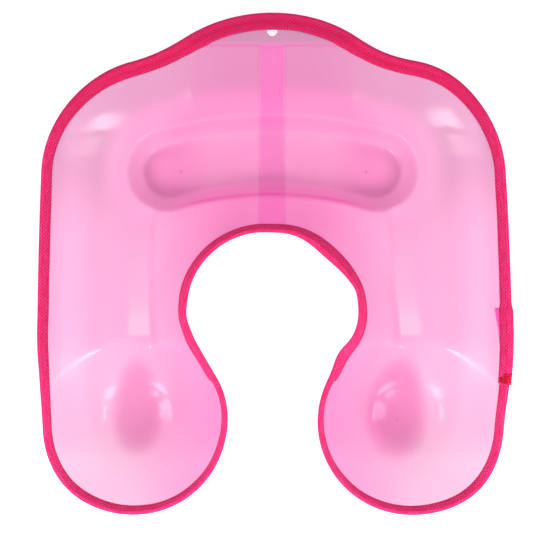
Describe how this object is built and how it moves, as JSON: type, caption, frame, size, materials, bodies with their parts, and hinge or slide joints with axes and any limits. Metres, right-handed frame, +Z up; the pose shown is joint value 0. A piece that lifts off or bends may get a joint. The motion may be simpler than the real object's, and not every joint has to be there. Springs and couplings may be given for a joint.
{
  "type": "neck tray",
  "caption": "Horseshoe tray of clear plastic sheet with a bowl at the end of each arm, a trough across the back, a hanging tab and a bound edge.",
  "frame": {"origin": "on the surface that the tray stands on, under the middle of its outline", "axes": "+Z up, +Y towards the tab at the back of the neck, +X to the right when seen from above with the tab at the top"},
  "size_m": [0.3382, 0.3572, 0.0527],
  "materials": {
    "clear_pvc": "vacuum-formed soft PVC sheet, clear pink, glossy",
    "clear_pvc_strip": "second layer of the same clear pink film",
    "woven_tape": "hot pink woven polyester tape, folded",
    "seam_thread": "spun polyester thread",
    "red_thread": "spun polyester thread"
  },
  "bodies": {
    "root": {"tray_shell": "clear_pvc", "centre_strip": "clear_pvc_strip", "binding_tape": "woven_tape", "needle_thread": "seam_thread", "bobbin_thread": "seam_thread", "lap_bartack": "red_thread"}
  },
  "joints": []
}
